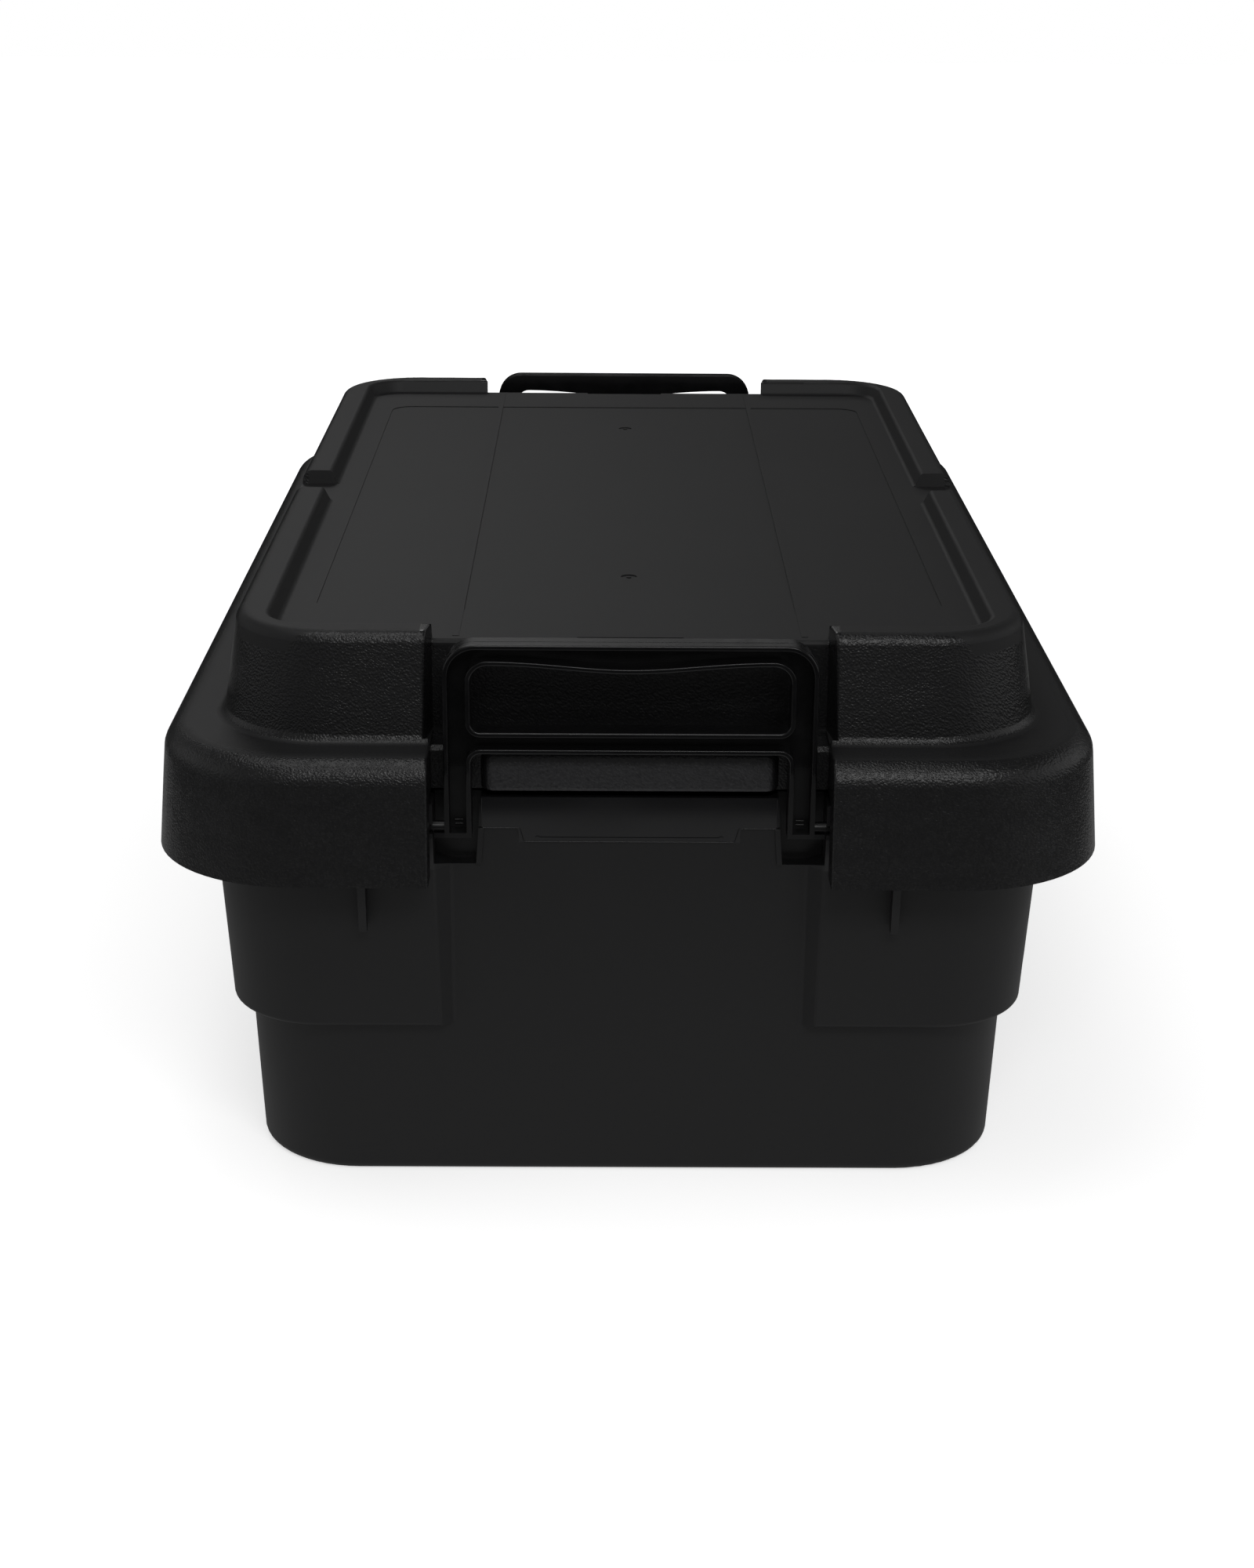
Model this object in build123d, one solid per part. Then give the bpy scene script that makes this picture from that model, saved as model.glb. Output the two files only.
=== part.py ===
"""Utility storage box in black polypropylene, in millimetres.

Four mouldings: a container, a deep lift-off lid, and a latch handle at each end.
Origin at the bottom centre, +Z up, +Y along the length. The front end is at -Y.
"""
import os
from math import hypot

from build123d import *

# Overall size: the length and width are over the lid's skirt, the height is to its ridge.
BOX_LENGTH = 600.0
BOX_WIDTH = 390.0
BOX_HEIGHT = 240.0

# Moulding
WALL = 2.8
FLOOR = 3.0
OVERRUN = 5.0

# Lid: levels
TIER_HEIGHT = 44.0
SKIRT_DEPTH = 51.6
RIDGE_HEIGHT = 6.6
RIM_BELOW_LEDGE = 22.8
# Lid: skirt and upper tier, as insets from the overall plan
SKIRT_CORNER = 62.0
SKIRT_DRAFT = 4.4
SHOULDER_RADIUS = 11.0
TIER_INSET = 27.0
TIER_DRAFT = 6.8
TIER_CORNER = 48.0
TIER_FOOT_RADIUS = 4.0
RIDGE_EDGE_RADIUS = 5.0
# Lid: ridge and panel
RIDGE_WIDTH = 13.6
RIDGE_SLOPE = 3.2
PANEL_CORNER = 15.0
RIDGE_INNER_RADIUS = 2.2
BELT_GAP = 38.0
BELT_GAP_SLOPE = 1.6
STEP_SIDE_MARGIN = 12.6
STEP_END_MARGIN = 39.0
STEP_CORNER = 11.0
STEP_DEPTH = 0.4
RUNNER_SPACING = 141.2
RUNNER_WIDTH = 2.7
RUNNER_HEIGHT = 0.2
RUNNER_END_GAP = 5.0
GATE_SPACING = 309.0
GATE_DIAMETER = 7.0
GATE_DEPTH = 0.5
GATE_STUB = 2.2
SCALLOP_WIDTH = 43.0
SCALLOP_LENGTH = 4.0
SCALLOP_DEPTH = 1.4
SEAT_RIB_INSET = 14.0
SEAT_RIB_WIDTH = 2.2
# Lid: end notches, which take the handles
NOTCH_WIDTH = 160.0
NOTCH_FLARE = 2.8
NOTCH_DEPTH = 47.0
NOTCH_DRAFT = 2.0
NOTCH_CHEEK = 14.0
NOTCH_EDGE_RADIUS = 1.2
NOTCH_LIP_RADIUS = 1.5
NOTCH_LIP_SHARE = 0.29
NOSE_WIDTH = 120.0
NOSE_DROP = 2.2
NOSE_RADIUS = 5.2
NOSE_SIDE_RADIUS = 5.6
NOSE_FOOT_RADIUS = 1.8
NOSE_OVER_RIM = 2.8
NOSE_SEAM_SHARES = (-0.43, -0.37, 0.37, 0.43)
NOSE_SEAM_WIDTH = 0.5
NOSE_SEAM_HEIGHT = 0.2
NOSE_SEAM_LENGTH = 6.0

# Container: insets from the overall plan
BASE_INSET = 35.6
BASE_CORNER = 45.0
BASE_EDGE_RADIUS = 4.0
STEP_LEVEL = 71.5
UPPER_STEP_INSET = 26.6
UPPER_RIM_INSET = 20.1
UPPER_EDGE_RADIUS = 2.0
UPPER_CORNER = 48.0
BASE_RING = 14.0
BASE_RING_HEIGHT = 1.5
# Container: recess in each end wall, where a lowered handle hangs
RECESS_WIDTH = 144.6
RECESS_SIDE_SLOPE = 0.95
RECESS_RIM_INSET = 27.8
RECESS_EDGE_RADIUS = 2.6
RECESS_FLANK = 8.0
RECESS_FLANK_RISE = 0.5
# Container: rim
RIM_INSET = 7.0
RIM_CORNER = 54.0
RIM_THICKNESS = 2.8
LIP_DEPTH = 14.2
LIP_THICKNESS = 2.4
RIM_GAP_WIDTH = 168.8
RIM_PANEL_WIDTH = 119.6
RIM_PANEL_DEPTH = 13.5
RIM_PANEL_DROP = 6.1
RIM_PANEL_TAB_WIDTH = 85.6
RIM_PANEL_CURVE = 4.2
RIM_PANEL_PROUD = 0.5
BEAD_LENGTH = 74.4
BEAD_WIDTH = 0.9
BEAD_HEIGHT = 0.4
BEAD_RISE = 1.6
BEAD_DOT = 2.0
# Container: pockets for the handles' feet, between an ear and a strip, and gussets
POCKET_FLOOR_WIDTH = 16.7
POCKET_LEAN = 2.2
POCKET_DEPTH = 29.5
POCKET_BACK = 7.6
POCKET_FLOOR_RISE = 2.6
EAR_THICKNESS = 2.4
EAR_GAP = 1.0
EAR_REACH = 4.0
STRIP_WIDTH = 2.1
STRIP_PROUD = 0.9
GUSSET_SPACING = 216.0
GUSSET_THICKNESS = 3.2
GUSSET_DEPTH = 53.4
GUSSET_REACH = 11.0
GUSSET_FOOT = 3.4
SIDE_GUSSET_SHARES = (-0.30, 0.0, 0.30)

# Handles
HANDLE_INSET = 18.0
HANDLE_DEPTH = 11.0
HANDLE_WIDTH = 148.6
HANDLE_CORNER = 13.0
LEG_WIDTH = 10.9
LEG_TAPER = 1.0
LEG_TAPER_LENGTH = 28.0
GRIP_DROP = 0.4
GRIP_END_HEIGHT = 8.6
GRIP_BULGE = 3.2
GRIP_INNER_CORNER = 7.0
CROSSBAR_HEIGHT = 9.1
CROSSBAR_CORNER = 4.0
FLANGE = 2.0
WEB = 2.4
HANDLE_EDGE_RADIUS = 0.7
CHANNEL_EDGE_RADIUS = 0.45
LATCH_GAP = 0.6
LATCH_OVERLAP = 3.5
LEG_POCKET_GAP = 1.0
PIN_DIAMETER = 4.6
PIN_FIT = 0.1
PIN_MOUTH = 4.0
PIN_SETBACK = 4.0
PIN_BELOW_RIM = 10.5
PIN_TO_FOOT = 4.0
FOOT_RADIUS = 3.0
SWING_SIDE_GAP = 0.5

# Where an edge is tested against a wire, and how near it has to be
EDGE_SHARES = (0.1, 0.5, 0.9)
TOUCH = 0.01

# Levels, from the ridge down
RIDGE_TOP = BOX_HEIGHT
GRIP_TOP = RIDGE_TOP - GRIP_DROP
PANEL_Z = RIDGE_TOP - RIDGE_HEIGHT
LEDGE_Z = RIDGE_TOP - TIER_HEIGHT
SKIRT_Z = LEDGE_Z - SKIRT_DEPTH
RIM_Z = LEDGE_Z - RIM_BELOW_LEDGE
SHELF_Z = LEDGE_Z - NOSE_DROP
NOSE_FOOT_Z = RIM_Z + NOSE_OVER_RIM
PIN_Z = RIM_Z - PIN_BELOW_RIM
FOOT_Z = PIN_Z - PIN_TO_FOOT
CROSSBAR_Z = SHELF_Z + LATCH_GAP
OPENING_Z = CROSSBAR_Z + CROSSBAR_HEIGHT
LIP_Z = RIM_Z - LIP_DEPTH
POCKET_Z = RIM_Z - POCKET_DEPTH

# Distances from the middle of the box to the planes of an end, from the outside in
END_Y = BOX_LENGTH / 2
HANDLE_FRONT_Y = END_Y - HANDLE_INSET
HANDLE_BACK_Y = HANDLE_FRONT_Y - HANDLE_DEPTH
PIN_Y = HANDLE_FRONT_Y - PIN_SETBACK
NOSE_Y = HANDLE_BACK_Y + LATCH_OVERLAP
LID_POCKET_Y = HANDLE_BACK_Y - LEG_POCKET_GAP
FOOT_POCKET_Y = END_Y - RECESS_RIM_INSET - POCKET_BACK
NOTCH_Y = END_Y - NOTCH_DEPTH
LEG_INNER_X = HANDLE_WIDTH / 2 - LEG_WIDTH
EAR_X = NOTCH_WIDTH / 2 - EAR_GAP


def between(low_value, high_value, low_z, high_z, z):
    """Value at height z on the straight line between two heights."""
    return low_value + (high_value - low_value) * (z - low_z) / (high_z - low_z)


def plan_section(inset, corner, z):
    """Horizontal rounded rectangle, inset from the overall plan."""
    return Pos(0, 0, z) * RectangleRounded(BOX_WIDTH - 2 * inset, BOX_LENGTH - 2 * inset, corner)


def drafted_block(low, high):
    """Solid between two plan sections, each given as inset, corner radius and height."""
    return loft([plan_section(*low), plan_section(*high)], ruled=True)


def slab(x_range, y_range, z_range):
    """Block between two limits along each axis."""
    size = [high - low for low, high in (x_range, y_range, z_range)]
    middle = [(high + low) / 2 for low, high in (x_range, y_range, z_range)]
    return Pos(*middle) * Box(*size)


def end_plane(y):
    """Plane across the front end: its x is X, its y is Z, and it faces -Y."""
    return Plane(origin=(0, -y, 0), x_dir=(1, 0, 0), z_dir=(0, -1, 0))


def side_profile(points, half_width):
    """Solid with a given outline of (y, z) points, as wide as twice half_width along X."""
    outline = make_face(Polyline(*[(-half_width, y, z) for y, z in points], close=True))
    return extrude(outline, 2 * half_width, dir=(1, 0, 0))


def both_sides(shape):
    """The shape and its mirror image across the middle of the width."""
    return [shape, mirror(shape, about=Plane.YZ)]


def both_ends(shape):
    """The shape and its mirror image across the middle of the length."""
    return [shape, mirror(shape, about=Plane.XZ)]


def lower_inset(z):
    """Inset of the lower tier's outer face, and of the recess that carries it on upwards."""
    return between(BASE_INSET, RECESS_RIM_INSET, 0, RIM_Z, z)


def upper_inset(z):
    """Inset of the container's upper tier."""
    return between(UPPER_STEP_INSET, UPPER_RIM_INSET, STEP_LEVEL, RIM_Z, z)


def tier_inset(z):
    """Inset of the outer face of the lid's upper tier."""
    return between(TIER_INSET, TIER_INSET + TIER_DRAFT, LEDGE_Z, RIDGE_TOP, z)


def skirt_inset(z):
    """Inset of the outer face of the lid's skirt."""
    return between(0, SKIRT_DRAFT, SKIRT_Z, LEDGE_Z, z)


def recess_cutter(grow, edge_radius=0.0):
    """What the recess takes out of the front end wall, larger all round by grow, its upright edges rounded."""
    half = RECESS_WIDTH / 2 + grow * (hypot(1, RECESS_SIDE_SLOPE) - RECESS_SIDE_SLOPE)
    low = STEP_LEVEL - grow - OVERRUN
    sections = []
    for z in (low, RIM_Z + OVERRUN):
        wall_y = END_Y - lower_inset(z) - grow
        face_y = END_Y - upper_inset(z)
        mouth = half + RECESS_SIDE_SLOPE * (face_y - wall_y)
        flank = mouth + RECESS_FLANK
        right = [(half, -wall_y), (mouth, -face_y), (flank, -face_y - RECESS_FLANK_RISE), (flank, -END_Y)]
        left = [(-x, y) for x, y in reversed(right)]
        section = make_face(Polyline(*left, *right, close=True))
        if edge_radius:
            corners = [corner for corner in section.vertices() if abs(corner.X) < (mouth + flank) / 2]
            section = fillet(corners, edge_radius)
        sections.append(Pos(0, 0, z) * section)
    return loft(sections, ruled=True)


def pocket_cutter(grow):
    """What the foot pocket takes out of the front end wall on the +X side, larger all round by grow."""
    floor_z = POCKET_Z - grow
    top_z = RIM_Z + OVERRUN
    inner = EAR_X - POCKET_FLOOR_WIDTH
    bend = RECESS_WIDTH / 2
    outline = [
        (inner - grow, floor_z),
        (bend, floor_z),
        (EAR_X + grow, between(floor_z, floor_z + POCKET_FLOOR_RISE, bend, EAR_X, EAR_X + grow)),
        (EAR_X + grow, top_z),
        (inner - grow - between(0, POCKET_LEAN, POCKET_Z, RIM_Z, top_z), top_z),
    ]
    face = end_plane(FOOT_POCKET_Y - grow) * make_face(Polyline(*outline, close=True))
    return extrude(face, END_Y - FOOT_POCKET_Y + grow, dir=(0, -1, 0))


def container_shell():
    """Tapered walls and floor, with the outward step, and the recess and pockets in each end wall."""
    step_overlap = STEP_LEVEL + WALL
    lower_top = BASE_CORNER + BASE_INSET - lower_inset(step_overlap)
    lower = drafted_block((BASE_INSET, BASE_CORNER, 0), (lower_inset(step_overlap), lower_top, step_overlap))
    lower = fillet(lower.edges().group_by(Axis.Z)[0], BASE_EDGE_RADIUS)
    upper_low = UPPER_CORNER - (UPPER_STEP_INSET - UPPER_RIM_INSET)
    upper = drafted_block((UPPER_STEP_INSET, upper_low, STEP_LEVEL), (UPPER_RIM_INSET, UPPER_CORNER, RIM_Z))
    upper = fillet(upper.edges().group_by(Axis.Z)[0], UPPER_EDGE_RADIUS)
    for cutter in both_ends(recess_cutter(0, RECESS_EDGE_RADIUS)):
        upper -= cutter
    outer = lower + upper
    for pocket in both_sides(pocket_cutter(0)):
        for cutter in both_ends(pocket):
            outer -= cutter

    inner_low = (lower_inset(FLOOR) + WALL, BASE_CORNER - WALL, FLOOR)
    inner_high = (lower_inset(step_overlap) + WALL, lower_top - WALL, step_overlap + OVERRUN)
    cavity_low = drafted_block(inner_low, inner_high)
    cavity_low = fillet(cavity_low.edges().group_by(Axis.Z)[0], BASE_EDGE_RADIUS)
    rim_over = RIM_Z + OVERRUN
    cavity_high = drafted_block(
        (upper_inset(step_overlap) + WALL, upper_low - WALL, step_overlap),
        (upper_inset(rim_over) + WALL, UPPER_CORNER - WALL, rim_over),
    )
    for cutter in both_ends(recess_cutter(WALL)):
        cavity_high -= cutter
    for pocket in both_sides(pocket_cutter(EAR_THICKNESS)):
        for cutter in both_ends(pocket):
            cavity_high -= cutter
    ring = BASE_INSET + BASE_RING
    ring_corner = BASE_CORNER - BASE_RING
    hollow = drafted_block((ring, ring_corner, -OVERRUN), (ring, ring_corner, BASE_RING_HEIGHT))
    return outer - (cavity_low + cavity_high) - hollow


def container_rim():
    """Flange and turned-down lip round the mouth, left out where the handles are."""
    web_low = RIM_Z - RIM_THICKNESS
    lip_corner = RIM_CORNER - LIP_THICKNESS
    wall_corner = UPPER_CORNER - WALL
    full = drafted_block((RIM_INSET, RIM_CORNER, LIP_Z), (RIM_INSET, RIM_CORNER, RIM_Z))
    full = fillet(full.edges().group_by(Axis.Z)[-1], LIP_THICKNESS / 3)
    under = RIM_INSET + LIP_THICKNESS
    full -= drafted_block((under, lip_corner, LIP_Z - OVERRUN), (under, lip_corner, web_low))
    mouth = UPPER_RIM_INSET + WALL
    full -= drafted_block((mouth, wall_corner, LIP_Z - OVERRUN), (mouth, wall_corner, RIM_Z + OVERRUN))
    reach = RIM_GAP_WIDTH / 2
    inside = END_Y - upper_inset(RIM_Z) - WALL
    gap = slab((-reach, reach), (-END_Y, -inside), (LIP_Z - OVERRUN, RIM_Z + OVERRUN))
    for cutter in both_ends(gap):
        full -= cutter
    return full


def wall_pad(outline, proud):
    """Thin pad on the front end wall inside an outline of the end's plane, parallel to the wall."""
    low_z = POCKET_Z - OVERRUN
    layer = drafted_block(
        (lower_inset(low_z) - proud, BASE_CORNER, low_z),
        (lower_inset(RIM_Z) - proud, BASE_CORNER, RIM_Z),
    )
    behind = END_Y - RECESS_RIM_INSET - WALL / 2
    return layer & extrude(end_plane(behind) * outline, END_Y - behind, dir=(0, -1, 0))


def rim_panel():
    """Polished pad in the middle of the front end wall, with a tab below and a raised line on it."""
    half = RIM_PANEL_WIDTH / 2
    tab = RIM_PANEL_TAB_WIDTH / 2
    side_z = RIM_Z - RIM_PANEL_DEPTH
    tab_z = side_z - RIM_PANEL_DROP
    curve_end = tab + RIM_PANEL_CURVE
    curve = Spline(
        (tab, tab_z),
        ((tab + curve_end) / 2, (side_z + tab_z) / 2),
        (curve_end, side_z),
        tangents=[(1, 0), (1, 0)],
    )
    right = make_face([
        Line((0, tab_z), (tab, tab_z)),
        curve,
        Line((curve_end, side_z), (half, side_z)),
        Line((half, side_z), (half, RIM_Z)),
        Line((half, RIM_Z), (0, RIM_Z)),
        Line((0, RIM_Z), (0, tab_z)),
    ])
    bead_z = tab_z + BEAD_RISE
    bead = Pos(0, bead_z) * SlotCenterToCenter(BEAD_LENGTH, BEAD_WIDTH)
    dot = Pos(BEAD_LENGTH / 2, bead_z) * Circle(BEAD_DOT / 2)
    panel = wall_pad(bead, RIM_PANEL_PROUD + BEAD_HEIGHT)
    half_panel = wall_pad(right, RIM_PANEL_PROUD)
    bead_end = wall_pad(dot, RIM_PANEL_PROUD + BEAD_HEIGHT)
    for piece in both_sides(half_panel) + both_sides(bead_end):
        panel += piece
    return panel


def pin_slot():
    """Open slot in an ear, narrower at its mouth than the pin, so that the pin snaps in."""
    bore = PIN_DIAMETER / 2 + PIN_FIT
    inner = EAR_X - PIN_FIT
    outer = EAR_X + EAR_THICKNESS + PIN_FIT
    hole = Pos((inner + outer) / 2, -PIN_Y, PIN_Z) * Rot(0, 90, 0) * Cylinder(bore, outer - inner)
    mouth = slab((inner, outer), (-PIN_Y - 2 * EAR_REACH, -PIN_Y), (PIN_Z - PIN_MOUTH / 2, PIN_Z + PIN_MOUTH / 2))
    return hole + mouth


def handle_bracket():
    """Ear outside the foot pocket, which carries the pin, and the strip along its inner edge."""
    front = PIN_Y + EAR_REACH
    profile = [
        (-FOOT_POCKET_Y, POCKET_Z),
        (-(END_Y - upper_inset(POCKET_Z)), POCKET_Z),
        (-front, FOOT_Z),
        (-front, RIM_Z),
        (-FOOT_POCKET_Y, RIM_Z),
    ]
    ear = Pos(EAR_X + EAR_THICKNESS / 2, 0, 0) * side_profile(profile, EAR_THICKNESS / 2)
    inner = EAR_X - POCKET_FLOOR_WIDTH
    side_z = RIM_Z - RIM_PANEL_DEPTH
    lean = between(0, POCKET_LEAN, POCKET_Z, RIM_Z, side_z)
    outline = Polyline(
        (inner - STRIP_WIDTH, POCKET_Z),
        (inner, POCKET_Z),
        (inner - lean, side_z),
        (inner - lean - STRIP_WIDTH, side_z),
        close=True,
    )
    return ear, wall_pad(make_face(outline), STRIP_PROUD)


def gusset(reach, depth):
    """Triangular plate under the rim, standing on a wall that faces -Y, with its face on the XZ plane."""
    corner = WALL / 2
    points = [(corner, -depth), (corner, 0), (-reach, 0), (-GUSSET_FOOT, -depth)]
    return side_profile(points, GUSSET_THICKNESS / 2)


def container_gussets():
    """Gussets beside the handles and along the sides."""
    wall_y = END_Y - upper_inset(RIM_Z)
    end = Pos(GUSSET_SPACING / 2, -wall_y, RIM_Z - RIM_THICKNESS / 2) * gusset(GUSSET_REACH, GUSSET_DEPTH)
    wall_x = BOX_WIDTH / 2 - upper_inset(RIM_Z)
    placed = [shape for one in both_ends(end) for shape in both_sides(one)]
    for share in SIDE_GUSSET_SHARES:
        side = Pos(wall_x, share * BOX_LENGTH, RIM_Z - RIM_THICKNESS / 2) * Rot(0, 0, 90)
        placed += both_sides(side * gusset(GUSSET_REACH, GUSSET_DEPTH))
    return placed


def make_container():
    """The lower moulding: walls, rim, ears, strips and gussets in one piece."""
    body = container_shell() + container_rim()
    pieces = both_ends(rim_panel())
    for shape in handle_bracket():
        for side in both_sides(shape):
            pieces += both_ends(side)
    pieces += container_gussets()
    for piece in pieces:
        body += piece
    for slot in both_sides(pin_slot()):
        for cutter in both_ends(slot):
            body -= cutter
    return body


def lid_outside():
    """Two-tier outside of the lid, with the ridge round the recessed top panel."""
    skirt_top = SKIRT_CORNER - SKIRT_DRAFT
    skirt = drafted_block((0, SKIRT_CORNER, SKIRT_Z), (SKIRT_DRAFT, skirt_top, LEDGE_Z))
    skirt = fillet(skirt.edges().group_by(Axis.Z)[-1], SHOULDER_RADIUS)
    root_z = LEDGE_Z - WALL
    tier = drafted_block(
        (tier_inset(root_z), TIER_CORNER, root_z),
        (tier_inset(RIDGE_TOP), TIER_CORNER - TIER_DRAFT, RIDGE_TOP),
    )
    tier = fillet(tier.edges().group_by(Axis.Z)[-1], RIDGE_EDGE_RADIUS)
    outside = skirt + tier
    foot = [edge for edge in outside.edges() if is_tier_foot(edge)]
    outside = fillet(foot, TIER_FOOT_RADIUS)
    outside -= panel_recess()
    ridge_edge = [edge for edge in outside.edges() if is_ridge_edge(edge)]
    return fillet(ridge_edge, RIDGE_INNER_RADIUS)


def is_tier_foot(edge):
    """True for the edges where the upper tier stands on the ledge."""
    place = edge.center()
    inside = abs(place.X) < BOX_WIDTH / 2 - TIER_INSET + SKIRT_DRAFT
    inside = inside and abs(place.Y) < END_Y - TIER_INSET + SKIRT_DRAFT
    box = edge.bounding_box()
    return inside and box.size.Z < STEP_DEPTH and abs(place.Z - LEDGE_Z) < STEP_DEPTH


def is_ridge_edge(edge):
    """True for the inner top edges of the ridge."""
    place = edge.center()
    limit = tier_inset(RIDGE_TOP) + RIDGE_WIDTH - STEP_DEPTH
    inside = abs(place.X) <= BOX_WIDTH / 2 - limit and abs(place.Y) <= END_Y - limit
    box = edge.bounding_box()
    return inside and box.size.Z < STEP_DEPTH and abs(place.Z - RIDGE_TOP) < STEP_DEPTH


def ridge_inner(z, grow=0.0):
    """Inset and corner radius of the ridge's inner face at height z."""
    top = tier_inset(RIDGE_TOP) + RIDGE_WIDTH
    inset = between(top + RIDGE_SLOPE, top, PANEL_Z, RIDGE_TOP, z)
    return inset - grow, PANEL_CORNER + grow + top + RIDGE_SLOPE - inset, z


def panel_recess():
    """What the sunken top panel takes out of the lid."""
    recess = drafted_block(ridge_inner(PANEL_Z), ridge_inner(RIDGE_TOP + OVERRUN))
    return fillet(recess.edges().group_by(Axis.Z)[0], RIDGE_INNER_RADIUS)


def belt_gap(grow):
    """Gap in the ridge at the middle of the +X side, larger all round by grow."""
    low = BELT_GAP / 2 - BELT_GAP_SLOPE + grow
    high = BELT_GAP / 2 + grow
    floor = PANEL_Z - grow
    top = RIDGE_TOP + OVERRUN
    outline = [(-low, floor), (low, floor), (high, top), (-high, top)]
    block = side_profile(outline, BOX_WIDTH)
    inner = BOX_WIDTH / 2 - ridge_inner(PANEL_Z)[0] - OVERRUN
    side = slab((inner, BOX_WIDTH / 2), (-END_Y, END_Y), (floor - OVERRUN, top + OVERRUN))
    return block & side


def lid_inside():
    """Hollow of the lid: inside the skirt, inside the upper tier, and under the ridge."""
    skirt_top = LEDGE_Z - WALL
    low_z = SKIRT_Z - OVERRUN
    skirt = drafted_block(
        (skirt_inset(low_z) + WALL, SKIRT_CORNER - WALL, low_z),
        (skirt_inset(skirt_top) + WALL, SKIRT_CORNER - SKIRT_DRAFT - WALL, skirt_top),
    )
    skirt = fillet(skirt.edges().group_by(Axis.Z)[-1], SHOULDER_RADIUS - WALL)
    under_panel = PANEL_Z - WALL
    tier_low = skirt_top - WALL
    tier = drafted_block(
        (tier_inset(tier_low) + WALL, TIER_CORNER - WALL, tier_low),
        (tier_inset(under_panel) + WALL, TIER_CORNER - TIER_DRAFT - WALL, under_panel),
    )
    channel_top = RIDGE_TOP - WALL
    channel_low = under_panel - WALL
    channel = drafted_block(
        (tier_inset(channel_low) + WALL, TIER_CORNER - TIER_DRAFT - WALL, channel_low),
        (tier_inset(channel_top) + 1.5 * WALL, TIER_CORNER - TIER_DRAFT - 1.5 * WALL, channel_top),
    )
    channel -= drafted_block(ridge_inner(channel_low - WALL, WALL), ridge_inner(channel_top + WALL, WALL))
    for cutter in both_sides(belt_gap(WALL)):
        channel -= cutter
    return skirt + tier + channel


def notch_keep():
    """Where the lid's material stays round the front notch: back wall, shelf, pocket and cheeks."""
    half = NOTCH_WIDTH / 2 + NOTCH_FLARE + WALL
    cheek = NOTCH_WIDTH / 2 + WALL
    high = RIDGE_TOP + OVERRUN
    outer = END_Y + OVERRUN
    keep = slab((-half, half), (-outer, -NOTCH_Y + WALL), (SHELF_Z - WALL, high))
    keep += slab((-cheek, cheek), (-outer, -LID_POCKET_Y + WALL), (NOSE_FOOT_Z, SHELF_Z))
    keep += slab((-cheek, cheek), (-outer, -END_Y + NOTCH_CHEEK), (SKIRT_Z - 2 * OVERRUN, NOSE_FOOT_Z))
    return keep


def notch_cutter():
    """What the front notch takes out of the lid, without the nose that stands in it."""
    half = NOTCH_WIDTH / 2
    outer = END_Y + OVERRUN
    high = RIDGE_TOP + OVERRUN
    low = SKIRT_Z - OVERRUN
    pocket_top = SHELF_Z - NOSE_FOOT_RADIUS
    outline = [
        (-NOTCH_Y, high),
        (-NOTCH_Y - NOTCH_DRAFT, SHELF_Z),
        (-LID_POCKET_Y + NOSE_FOOT_RADIUS, SHELF_Z),
        (-LID_POCKET_Y, pocket_top),
        (-LID_POCKET_Y, NOSE_FOOT_Z),
        (-LID_POCKET_Y + WALL + OVERRUN, NOSE_FOOT_Z),
        (-LID_POCKET_Y + WALL + OVERRUN, low),
        (-outer, low),
        (-outer, high),
    ]
    cutter = side_profile(outline, half)
    flare_y = END_Y - TIER_INSET
    flare = Polyline(
        (-half, -NOTCH_Y),
        (half, -NOTCH_Y),
        (half + NOTCH_FLARE, -flare_y),
        (-half - NOTCH_FLARE, -flare_y),
        close=True,
    )
    return cutter + extrude(Pos(0, 0, LEDGE_Z) * make_face(flare), TIER_HEIGHT + OVERRUN)


def ridge_cutter():
    """What runs on from the front notch through the foot of the ridge, with the panel's rounded edge."""
    high = RIDGE_TOP + OVERRUN
    panel_end = END_Y - ridge_inner(PANEL_Z)[0] - RIDGE_INNER_RADIUS
    bevel = NOTCH_LIP_RADIUS * NOTCH_LIP_SHARE
    outline = [
        (-panel_end, high),
        (-panel_end, PANEL_Z),
        (-NOTCH_Y + NOTCH_LIP_RADIUS, PANEL_Z),
        (-NOTCH_Y + bevel, PANEL_Z - bevel),
        (-NOTCH_Y, PANEL_Z - NOTCH_LIP_RADIUS),
        (-NOTCH_Y - OVERRUN, PANEL_Z - NOTCH_LIP_RADIUS),
        (-NOTCH_Y - OVERRUN, high),
    ]
    return side_profile(outline, NOTCH_WIDTH / 2)


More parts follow.
